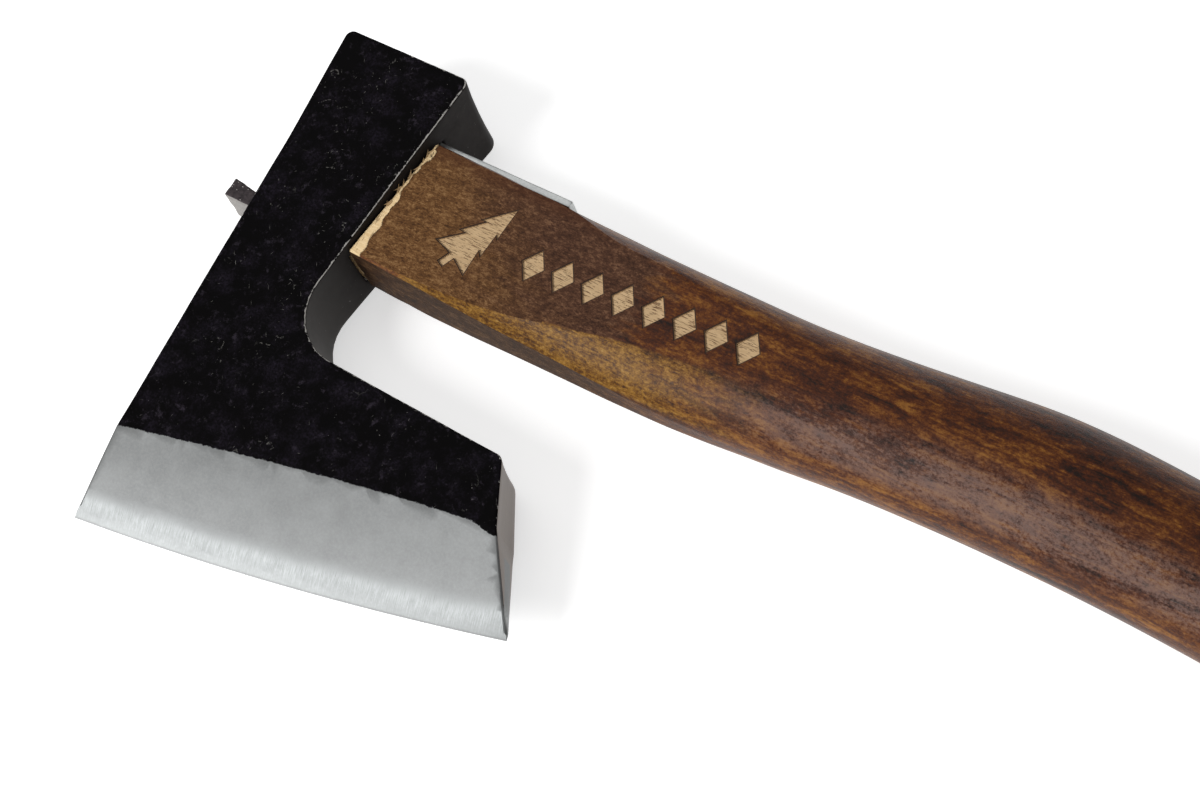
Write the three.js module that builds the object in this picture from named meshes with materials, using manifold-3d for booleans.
// A hatchet: a forged wedge-shaped head with a laminated cutting edge, on a curved wooden
// handle that runs through a rectangular eye and is held by two wedges and a nailed strap.
//
// Millimetres. While it is being built, X runs along the handle from the head to the grip,
// +Y points to the poll, -Y to the cutting edge, and Z is square to the cheeks, with the
// mid-plane of the head at z = 0 and the middle of the eye at x = 0. The finished group is
// shifted so that its origin is at the bottom centre of its bounding box.

import * as THREE from 'three';
import { mergeVertices } from 'three/addons/utils/BufferGeometryUtils.js';
import Module from 'manifold-3d';

const wasm = await Module();
wasm.setup();

// ---- Driving dimensions -------------------------------------------------------------------

const FIT_GAP = 0.3; // clearance between pieces that touch or are driven together

// Head: outline in the XY plane
const POLL_Y = 25.6;
const POLL_TOP_X = -14.8;
const POLL_UNDERSIDE_X = 15.2;
const CHEEK_HALF_AT_EYE = 9.05; // half thickness of the head at y = 0
const CHEEK_TAPER = 0.0593; // half thickness lost for each millimetre toward the edge
const POLL_CORNER_RADIUS = 1.2;
const TOP_BEND = new THREE.Vector2(-12.4, 0); // where the top line turns slightly down
const BEVEL_TOE = new THREE.Vector2(-8.1, -65.7); // toe end of the ground bevel
const EDGE_TOE = new THREE.Vector2(-7, -84); // toe of the cutting edge
const UNDERSIDE_END = new THREE.Vector2(11.7, -18.6); // underside meets the beard curve
const BEARD_CENTRE = new THREE.Vector2(23.2, -24.3);
const BEARD_RADIUS = 11.7;
const HEEL_CORNER = new THREE.Vector2(63.8, -37); // end of the beard's straight stretch
const HEEL_CORNER_RADIUS = 1.4;
const BEVEL_HEEL = new THREE.Vector2(70.4, -49); // heel end of the ground bevel
const EDGE_HEEL = new THREE.Vector2(81.1, -64.6); // heel of the cutting edge
const HONED_TOE = new THREE.Vector2(-7.7, -78); // toe end of the honed band above the edge
const HONED_HEEL = new THREE.Vector2(78, -59.2); // heel end of the honed band
const HONED_HALF = 2; // half thickness where the ground bevel meets the honed band
const EDGE_BULGE = 1.5; // how far the convex edge stands out from its chord
const BEVEL_BULGE = 0.9; // how far the bevel line bows up toward the poll
const BIT_SEGMENTS = 16;
const OUTLINE_CURVE_STEPS = 10;

// Eye: a straight rectangular hole through the head along X
const EYE_HALF_WIDTH = 4.5;
const EYE_POLL_Y = 14.3;
const EYE_BLADE_Y = -15.3;

// Hard edge steel, let into a slot along the bit
const EDGE_STEEL_HALF = HONED_HALF - 0.1;
const EDGE_STEEL_DEPTH = 14;
const EDGE_STEEL_GAP = 0.15;

// Handle: tenon in the eye, then the sections of the grip
const TENON_END_X = -13.6; // a little proud of the head's top
const TENON_HALF = EYE_HALF_WIDTH - FIT_GAP;
const CORNER_STEPS = 5;
const RING_SPACING = 7; // distance between the grip's rings
const BUTT_CHAMFER = 2.4;

// Each section: poll-side and blade-side height, half thickness, how far each pair of
// corners is planed off across the width and through the thickness, how round that corner is
// (0 flat chamfer, 1 elliptical), and how much the section leans with the head's underside.
const SECTIONS = [
  { x: 13, back: 12.3, front: -15.0, half: TENON_HALF,
    backCut: 0.3, frontCut: 0.3, depth: 0.3, round: 0, lean: 0.084 },
  { x: 24, back: 12.2, front: -15.4, half: 6.9,
    backCut: 0.4, frontCut: 0.5, depth: 0.5, round: 0, lean: 0.084 },
  { x: 36, back: 12.0, front: -15.7, half: 7.3,
    backCut: 0.6, frontCut: 1.1, depth: 1.4, round: 0, lean: 0.05 },
  { x: 48, back: 12.0, front: -15.8, half: 7.6,
    backCut: 1.0, frontCut: 2.5, depth: 2.8, round: 0.1, lean: 0 },
  { x: 60, back: 12.0, front: -15.8, half: 8.0,
    backCut: 3.2, frontCut: 5.0, depth: 4.0, round: 0.3, lean: 0 },
  { x: 72, back: 12.0, front: -15.9, half: 8.6,
    backCut: 4.0, frontCut: 7.8, depth: 5.4, round: 0.5, lean: 0 },
  { x: 86, back: 12.1, front: -15.7, half: 9.2,
    backCut: 6.0, frontCut: 10.5, depth: 7.0, round: 0.75, lean: 0 },
  { x: 102, back: 12.4, front: -14.4, half: 9.8,
    backCut: 9.5, frontCut: 12.0, depth: 8.8, round: 0.95, lean: 0 },
  { x: 120, back: 13.9, front: -12.7, half: 10.2,
    backCut: 13.0, frontCut: 13.0, depth: 9.8, round: 1, lean: 0 },
  { x: 150, back: 16.6, front: -11.4, half: 10.5,
    backCut: 13.6, frontCut: 13.6, depth: 10.1, round: 1, lean: 0 },
  { x: 180, back: 15.1, front: -11.9, half: 10.2,
    backCut: 13.2, frontCut: 13.2, depth: 9.8, round: 1, lean: 0 },
  { x: 220, back: 11.0, front: -15.6, half: 9.9,
    backCut: 12.8, frontCut: 12.8, depth: 9.5, round: 1, lean: 0 },
  { x: 260, back: 5.2, front: -21.8, half: 9.9,
    backCut: 12.8, frontCut: 12.8, depth: 9.5, round: 1, lean: 0 },
  { x: 300, back: -0.8, front: -30.4, half: 10.2,
    backCut: 13.0, frontCut: 13.6, depth: 9.5, round: 1, lean: 0 },
  { x: 333, back: -3.8, front: -40.2, half: 10.5,
    backCut: 13.0, frontCut: 15.0, depth: 9.2, round: 1, lean: 0 },
];

// Steel wedge at the blade end of the eye
const WEDGE_TOP_X = -20.2;
const WEDGE_TIP_X = 4;
const WEDGE_TOP_THICKNESS = 4.3;
const WEDGE_TIP_THICKNESS = 0.9;
const WEDGE_HALF_WIDTH = 4.2;

// Wooden wedge in the kerf sawn along the tenon
const KERF_WEDGE_TIP_X = 6;
const KERF_WEDGE_TOP_THICKNESS = 2.0;
const KERF_WEDGE_TIP_THICKNESS = 0.7;
const KERF_POLL_Y = 10.4;
const KERF_BLADE_Y = -8.6;

// Strap up the poll side of the handle, through the eye and folded over the head
const STRAP_END_X = 45.4;
const STRAP_INNER_Y = 12.6;
const STRAP_THICKNESS = 1.4;
const STRAP_HALF_WIDTH = 4.2;
const STRAP_HOOK_X = -15.1; // underside of the folded end, just above the head
const STRAP_HOOK_END_Y = 23;
const STRAP_BEND_RADIUS = 0.25;

// Nails that hold the strap to the handle
const NAIL_X = [23, 37];
const NAIL_SHANK_RADIUS = 1.1;
const NAIL_HEAD_RADIUS = 2.4;
const NAIL_HEAD_HEIGHT = 0.8;
const NAIL_LENGTH = 12;
const NAIL_POINT_LENGTH = 2.5;
const NAIL_HEAD_GAP = 0.1; // between the head of the nail and the strap
const NAIL_DOME_RATIO = 0.7; // radius and height of the dome's shoulder, as a share of the head's
const ROUND_SEGMENTS = 16;

const WELD_DISTANCE = 1e-4; // corners closer than this are one corner

// ---- Helpers ------------------------------------------------------------------------------

function toSolid(geometry) {
  const bare = geometry.index ? geometry.toNonIndexed() : geometry.clone();
  bare.deleteAttribute('normal');
  bare.deleteAttribute('uv');
  const merged = mergeVertices(bare, WELD_DISTANCE);
  return new wasm.Manifold(new wasm.Mesh({
    numProp: 3,
    vertProperties: Float32Array.from(merged.attributes.position.array),
    triVerts: Uint32Array.from(merged.index.array),
  }));
}

function toGeometry(solid) {
  const mesh = solid.getMesh();
  const geometry = new THREE.BufferGeometry();
  const positions = Float32Array.from(mesh.vertProperties);
  geometry.setAttribute('position', new THREE.BufferAttribute(positions, 3));
  geometry.setIndex(Array.from(mesh.triVerts));
  return geometry;
}

function boxBetween(low, high) {
  const size = new THREE.Vector3().subVectors(high, low);
  const centre = new THREE.Vector3().addVectors(low, high).multiplyScalar(0.5);
  return new THREE.BoxGeometry(size.x, size.y, size.z).translate(centre.x, centre.y, centre.z);
}

// A plate of constant outline in the XY plane, centred on the mid-plane
function plate(shape, halfThickness, curveSegments = 8) {
  const geometry = new THREE.ExtrudeGeometry(shape, {
    depth: 2 * halfThickness,
    bevelEnabled: false,
    curveSegments,
  });
  return geometry.translate(0, 0, -halfThickness);
}

// A prism of constant outline in the XZ plane, between two heights in Y
function prismAlongY(outline, lowY, highY) {
  const shape = new THREE.Shape(outline.map(([x, z]) => new THREE.Vector2(x, z)));
  const geometry = new THREE.ExtrudeGeometry(shape, { depth: highY - lowY, bevelEnabled: false });
  return geometry.rotateX(Math.PI / 2).translate(0, highY, 0);
}

// Points on a shallow bow between two ends, both included
function bowedLine(start, end, bulge, segments) {
  const chord = new THREE.Vector2().subVectors(end, start);
  const outward = new THREE.Vector2(chord.y, -chord.x).normalize();
  const points = [];
  for (let i = 0; i <= segments; i += 1) {
    const t = i / segments;
    const point = start.clone().addScaledVector(chord, t);
    points.push(point.addScaledVector(outward, bulge * 4 * t * (1 - t)));
  }
  return points;
}

function material(color, roughness, metalness) {
  return new THREE.MeshStandardMaterial({ color, roughness, metalness });
}

function namedMesh(name, geometry, surface) {
  geometry.computeVertexNormals();
  const mesh = new THREE.Mesh(geometry, surface);
  mesh.name = name;
  return mesh;
}

// ---- Materials ----------------------------------------------------------------------------

const blackLacquer = () => material(0x121214, 0.45, 0.3);
const groundSteel = () => material(0xa9adac, 0.38, 1);
const stainedWood = () => material(0x5a3414, 0.55, 0);
const paleWood = () => material(0xb98f5a, 0.7, 0);
const darkSteel = () => material(0x3a3533, 0.6, 0.8);
const zincPlate = () => material(0xb9bbb8, 0.4, 1);
const nailSteel = () => material(0x8d8f8e, 0.45, 1);

// ---- Head ---------------------------------------------------------------------------------

function cheekHalf(y) {
  return CHEEK_HALF_AT_EYE + CHEEK_TAPER * y;
}

// The head's outline from the heel end of the bevel, round by the poll, to its toe end
function headOutline() {
  const path = new THREE.Path();
  path.moveTo(BEVEL_HEEL.x, BEVEL_HEEL.y);
  const down = new THREE.Vector2().subVectors(BEVEL_HEEL, HEEL_CORNER).setLength(HEEL_CORNER_RADIUS);
  const across = HEEL_CORNER.x - HEEL_CORNER_RADIUS;
  path.lineTo(HEEL_CORNER.x + down.x, HEEL_CORNER.y + down.y);
  path.quadraticCurveTo(HEEL_CORNER.x, HEEL_CORNER.y, across, HEEL_CORNER.y);
  path.absarc(BEARD_CENTRE.x, BEARD_CENTRE.y, BEARD_RADIUS, -Math.PI / 2, -Math.PI, true);
  path.lineTo(UNDERSIDE_END.x, UNDERSIDE_END.y);
  path.lineTo(POLL_UNDERSIDE_X, POLL_Y - POLL_CORNER_RADIUS);
  path.quadraticCurveTo(POLL_UNDERSIDE_X, POLL_Y, POLL_UNDERSIDE_X - POLL_CORNER_RADIUS, POLL_Y);
  path.lineTo(POLL_TOP_X + POLL_CORNER_RADIUS, POLL_Y);
  path.quadraticCurveTo(POLL_TOP_X, POLL_Y, POLL_TOP_X, POLL_Y - POLL_CORNER_RADIUS);
  path.lineTo(TOP_BEND.x, TOP_BEND.y);
  path.lineTo(BEVEL_TOE.x, BEVEL_TOE.y);
  return path.getPoints(OUTLINE_CURVE_STEPS);
}

// The whole forged head with its ground bit, before the eye and the edge slot are cut
function headBlank() {
  const outline = headOutline();
  const bevelLine = bowedLine(BEVEL_TOE, BEVEL_HEEL, -BEVEL_BULGE, BIT_SEGMENTS);
  const honedLine = bowedLine(HONED_TOE, HONED_HEEL, EDGE_BULGE / 2, BIT_SEGMENTS);
  const edgeLine = bowedLine(EDGE_TOE, EDGE_HEEL, EDGE_BULGE, BIT_SEGMENTS);
  const loop = outline.concat(bevelLine.slice(1, -1));
  const faces = [];
  const face = (...corners) => faces.push(...corners.flatMap((corner) => corner.toArray()));
  const front = (p) => new THREE.Vector3(p.x, p.y, cheekHalf(p.y));
  const back = (p) => new THREE.Vector3(p.x, p.y, -cheekHalf(p.y));
  const honed = (p, side) => new THREE.Vector3(p.x, p.y, side * HONED_HALF);
  const edge = (p) => new THREE.Vector3(p.x, p.y, 0);
  const quad = (a, b, c, d) => {
    face(a, b, c);
    face(a, c, d);
  };

  for (const [a, b, c] of THREE.ShapeUtils.triangulateShape(loop, [])) {
    face(front(loop[a]), front(loop[b]), front(loop[c]));
    face(back(loop[c]), back(loop[b]), back(loop[a]));
  }
  for (let i = 0; i + 1 < outline.length; i += 1) {
    const here = outline[i];
    const next = outline[i + 1];
    quad(front(here), back(here), back(next), front(next));
  }
  for (let i = 0; i < BIT_SEGMENTS; i += 1) {
    const j = i + 1;
    quad(front(bevelLine[i]), honed(honedLine[i], 1), honed(honedLine[j], 1), front(bevelLine[j]));
    quad(honed(honedLine[i], 1), edge(edgeLine[i]), edge(edgeLine[j]), honed(honedLine[j], 1));
    quad(back(bevelLine[j]), honed(honedLine[j], -1), honed(honedLine[i], -1), back(bevelLine[i]));
    quad(honed(honedLine[j], -1), edge(edgeLine[j]), edge(edgeLine[i]), honed(honedLine[i], -1));
  }
  const heel = BIT_SEGMENTS;
  quad(front(bevelLine[0]), back(bevelLine[0]), honed(honedLine[0], -1), honed(honedLine[0], 1));
  face(honed(honedLine[0], 1), honed(honedLine[0], -1), edge(edgeLine[0]));
  quad(back(bevelLine[heel]), front(bevelLine[heel]), honed(honedLine[heel], 1), honed(honedLine[heel], -1));
  face(honed(honedLine[heel], -1), honed(honedLine[heel], 1), edge(edgeLine[heel]));

  const geometry = new THREE.BufferGeometry();
  geometry.setAttribute('position', new THREE.Float32BufferAttribute(faces, 3));
  return toSolid(geometry);
}

// The slab along the bit that the edge steel fills, reaching a depth above the edge's chord
function bitSlab(halfThickness, depth) {
  const overrun = 6;
  const along = new THREE.Vector2().subVectors(EDGE_HEEL, EDGE_TOE).normalize();
  const inward = new THREE.Vector2(-along.y, along.x);
  const corner = (end, lengthwise, up) =>
    end.clone().addScaledVector(along, lengthwise).addScaledVector(inward, up);
  const shape = new THREE.Shape([
    corner(EDGE_TOE, -overrun, -overrun),
    corner(EDGE_HEEL, overrun, -overrun),
    corner(EDGE_HEEL, overrun, depth),
    corner(EDGE_TOE, -overrun, depth),
  ]);
  return toSolid(plate(shape, halfThickness));
}

function axeHead(blank) {
  const reach = POLL_UNDERSIDE_X - POLL_TOP_X;
  const eye = toSolid(boxBetween(
    new THREE.Vector3(-reach, EYE_BLADE_Y, -EYE_HALF_WIDTH),
    new THREE.Vector3(reach, EYE_POLL_Y, EYE_HALF_WIDTH),
  ));
  const slot = bitSlab(EDGE_STEEL_HALF + EDGE_STEEL_GAP, EDGE_STEEL_DEPTH + FIT_GAP);
  return namedMesh('axe_head', toGeometry(blank.subtract(eye).subtract(slot)), blackLacquer());
}

function edgeSteel(blank) {
  const slab = bitSlab(EDGE_STEEL_HALF, EDGE_STEEL_DEPTH);
  return namedMesh('edge_steel', toGeometry(blank.intersect(slab)), groundSteel());
}

// ---- Handle -------------------------------------------------------------------------------

// The points round one section, counter-clockwise seen from the grip end
function sectionRing(section) {
  const middle = (section.back + section.front) / 2;
  const corners = [
    { y: 1, z: 1, cut: section.backCut },
    { y: -1, z: 1, cut: section.frontCut },
    { y: -1, z: -1, cut: section.frontCut },
    { y: 1, z: -1, cut: section.backCut },
  ];
  const ring = [];
  corners.forEach((corner, index) => {
    const face = corner.y > 0 ? section.back : section.front;
    for (let i = 0; i <= CORNER_STEPS; i += 1) {
      const t = index % 2 === 0 ? i / CORNER_STEPS : 1 - i / CORNER_STEPS;
      const angle = t * Math.PI / 2;
      const across = THREE.MathUtils.lerp(1 - t, Math.cos(angle), section.round);
      const through = THREE.MathUtils.lerp(t, Math.sin(angle), section.round);
      const y = face - corner.y * corner.cut * (1 - across);
      const z = corner.z * (section.half - section.depth * (1 - through));
      ring.push(new THREE.Vector3(section.x + section.lean * (y - middle), y, z));
    }
  });
  return ring;
}

// Sections between the mouth of the eye and the butt, smoothly interpolated
function gripSections() {
  const keys = Object.keys(SECTIONS[0]);
  const positions = SECTIONS.map((section) => section.x);
  const samples = SECTIONS.flatMap((section) => keys.map((key) => section[key]));
  const spline = new THREE.CubicInterpolant(positions, samples, keys.length);
  const first = positions[0];
  const last = positions[positions.length - 1];
  const count = Math.round((last - first) / RING_SPACING);
  const sections = [];
  for (let i = 0; i <= count; i += 1) {
    const values = Array.from(spline.evaluate(first + (last - first) * i / count));
    sections.push(Object.fromEntries(keys.map((key, k) => [key, values[k]])));
  }
  return sections;
}

function buttSection(last) {
  return {
    ...last,
    x: last.x + BUTT_CHAMFER,
    back: last.back - BUTT_CHAMFER,
    front: last.front + BUTT_CHAMFER,
    half: last.half - BUTT_CHAMFER,
    backCut: last.backCut - BUTT_CHAMFER,
    frontCut: last.frontCut - BUTT_CHAMFER,
    depth: last.depth - BUTT_CHAMFER,
  };
}

// A closed skin over a row of rings that all have the same number of points
function loft(rings) {
  const size = rings[0].length;
  const corners = [];
  const face = (a, b, c) => corners.push(...a.toArray(), ...b.toArray(), ...c.toArray());
  for (let r = 0; r + 1 < rings.length; r += 1) {
    for (let i = 0; i < size; i += 1) {
      const j = (i + 1) % size;
      face(rings[r][i], rings[r][j], rings[r + 1][j]);
      face(rings[r][i], rings[r + 1][j], rings[r + 1][i]);
    }
  }
  const first = rings[0];
  const last = rings[rings.length - 1];
  for (let i = 1; i + 1 < size; i += 1) {
    face(first[0], first[i + 1], first[i]);
    face(last[0], last[i], last[i + 1]);
  }
  const geometry = new THREE.BufferGeometry();
  geometry.setAttribute('position', new THREE.Float32BufferAttribute(corners, 3));
  return geometry;
}

function handle() {
  const grip = gripSections();
  const tenonEnd = { ...grip[0], x: TENON_END_X, lean: 0 };
  const sections = [tenonEnd, ...grip, buttSection(grip[grip.length - 1])];
  const blank = toSolid(loft(sections.map(sectionRing)));
  const cuts = [toSolid(steelWedgeGeometry(FIT_GAP)), toSolid(kerfWedgeGeometry(FIT_GAP))];
  for (const x of NAIL_X) {
    cuts.push(toSolid(nailBore(x)));
  }
  const carved = cuts.reduce((body, cut) => body.subtract(cut), blank);
  return namedMesh('handle', toGeometry(carved), stainedWood());
}

// ---- Wedges -------------------------------------------------------------------------------

// The steel wedge lies flat against the blade end of the eye and tapers on its other side.
// With a gap it is the pocket that the wedge leaves in the tenon, open toward the eye's wall.
function steelWedgeGeometry(gap) {
  const seat = EYE_BLADE_Y + FIT_GAP;
  const outer = gap > 0 ? EYE_BLADE_Y - EYE_HALF_WIDTH : seat;
  const shape = new THREE.Shape([
    new THREE.Vector2(WEDGE_TOP_X, outer),
    new THREE.Vector2(WEDGE_TIP_X + gap, outer),
    new THREE.Vector2(WEDGE_TIP_X + gap, seat + WEDGE_TIP_THICKNESS + gap),
    new THREE.Vector2(WEDGE_TOP_X, seat + WEDGE_TOP_THICKNESS + gap),
  ]);
  return plate(shape, gap > 0 ? 2 * EYE_HALF_WIDTH : WEDGE_HALF_WIDTH);
}

function eyeWedge() {
  return namedMesh('eye_wedge', steelWedgeGeometry(0), darkSteel());
}

// The wooden wedge tapers through its thickness. With a gap it is the kerf that holds it.
function kerfWedgeGeometry(gap) {
  const top = TENON_END_X - gap;
  const tip = KERF_WEDGE_TIP_X + gap;
  const topHalf = KERF_WEDGE_TOP_THICKNESS / 2 + gap;
  const tipHalf = KERF_WEDGE_TIP_THICKNESS / 2 + gap;
  const outline = [[top, -topHalf], [tip, -tipHalf], [tip, tipHalf], [top, topHalf]];
  return prismAlongY(outline, KERF_BLADE_Y - gap, KERF_POLL_Y + gap);
}

function kerfWedge() {
  return namedMesh('kerf_wedge', kerfWedgeGeometry(0), paleWood());
}

// ---- Strap and nails ----------------------------------------------------------------------

// Side view of the strap: straight along the handle, then folded out over the head
function strapProfile() {
  const outerY = STRAP_INNER_Y + STRAP_THICKNESS;
  const bendX = STRAP_HOOK_X + STRAP_BEND_RADIUS;
  const bendY = outerY + STRAP_BEND_RADIUS;
  const outerRadius = STRAP_BEND_RADIUS + STRAP_THICKNESS;
  const shape = new THREE.Shape();
  shape.moveTo(STRAP_END_X, STRAP_INNER_Y);
  shape.lineTo(STRAP_END_X, outerY);
  shape.absarc(bendX, bendY, STRAP_BEND_RADIUS, -Math.PI / 2, -Math.PI, true);
  shape.lineTo(STRAP_HOOK_X, STRAP_HOOK_END_Y);
  shape.lineTo(STRAP_HOOK_X - STRAP_THICKNESS, STRAP_HOOK_END_Y);
  shape.absarc(bendX, bendY, outerRadius, Math.PI, 3 * Math.PI / 2, false);
  return shape;
}

function retainingStrap() {
  let strap = toSolid(plate(strapProfile(), STRAP_HALF_WIDTH));
  for (const x of NAIL_X) {
    strap = strap.subtract(toSolid(nailBore(x)));
  }
  return namedMesh('retaining_strap', toGeometry(strap), zincPlate());
}

function nailBore(x) {
  const length = 2 * NAIL_LENGTH;
  const radius = NAIL_SHANK_RADIUS + FIT_GAP;
  const bore = new THREE.CylinderGeometry(radius, radius, length, ROUND_SEGMENTS);
  const bottomY = STRAP_INNER_Y + STRAP_THICKNESS - NAIL_LENGTH - FIT_GAP;
  return bore.translate(x, bottomY + length / 2, 0);
}

// A round-head nail turned about its own axis: pointed shank, domed head
function strapNail(name, x) {
  const headY = STRAP_INNER_Y + STRAP_THICKNESS + NAIL_HEAD_GAP;
  const profile = [
    new THREE.Vector2(0, headY - NAIL_LENGTH),
    new THREE.Vector2(NAIL_SHANK_RADIUS, headY - NAIL_LENGTH + NAIL_POINT_LENGTH),
    new THREE.Vector2(NAIL_SHANK_RADIUS, headY),
    new THREE.Vector2(NAIL_HEAD_RADIUS, headY),
    new THREE.Vector2(NAIL_DOME_RATIO * NAIL_HEAD_RADIUS, headY + NAIL_DOME_RATIO * NAIL_HEAD_HEIGHT),
    new THREE.Vector2(0, headY + NAIL_HEAD_HEIGHT),
  ];
  const mesh = namedMesh(name, new THREE.LatheGeometry(profile, ROUND_SEGMENTS), nailSteel());
  mesh.position.x = x;
  return mesh;
}

// ---- Assembly -----------------------------------------------------------------------------

const tool = new THREE.Group();
const blank = headBlank();
tool.add(axeHead(blank));
tool.add(edgeSteel(blank));
tool.add(handle());
tool.add(kerfWedge());
tool.add(eyeWedge());
tool.add(retainingStrap());
NAIL_X.forEach((x, index) => tool.add(strapNail(`strap_nail_${index + 1}`, x)));

const bounds = new THREE.Box3().setFromObject(tool);
const centre = bounds.getCenter(new THREE.Vector3());
tool.position.set(-centre.x, -centre.y, -bounds.min.z);

const hatchet = new THREE.Group();
hatchet.add(tool);

export default hatchet;
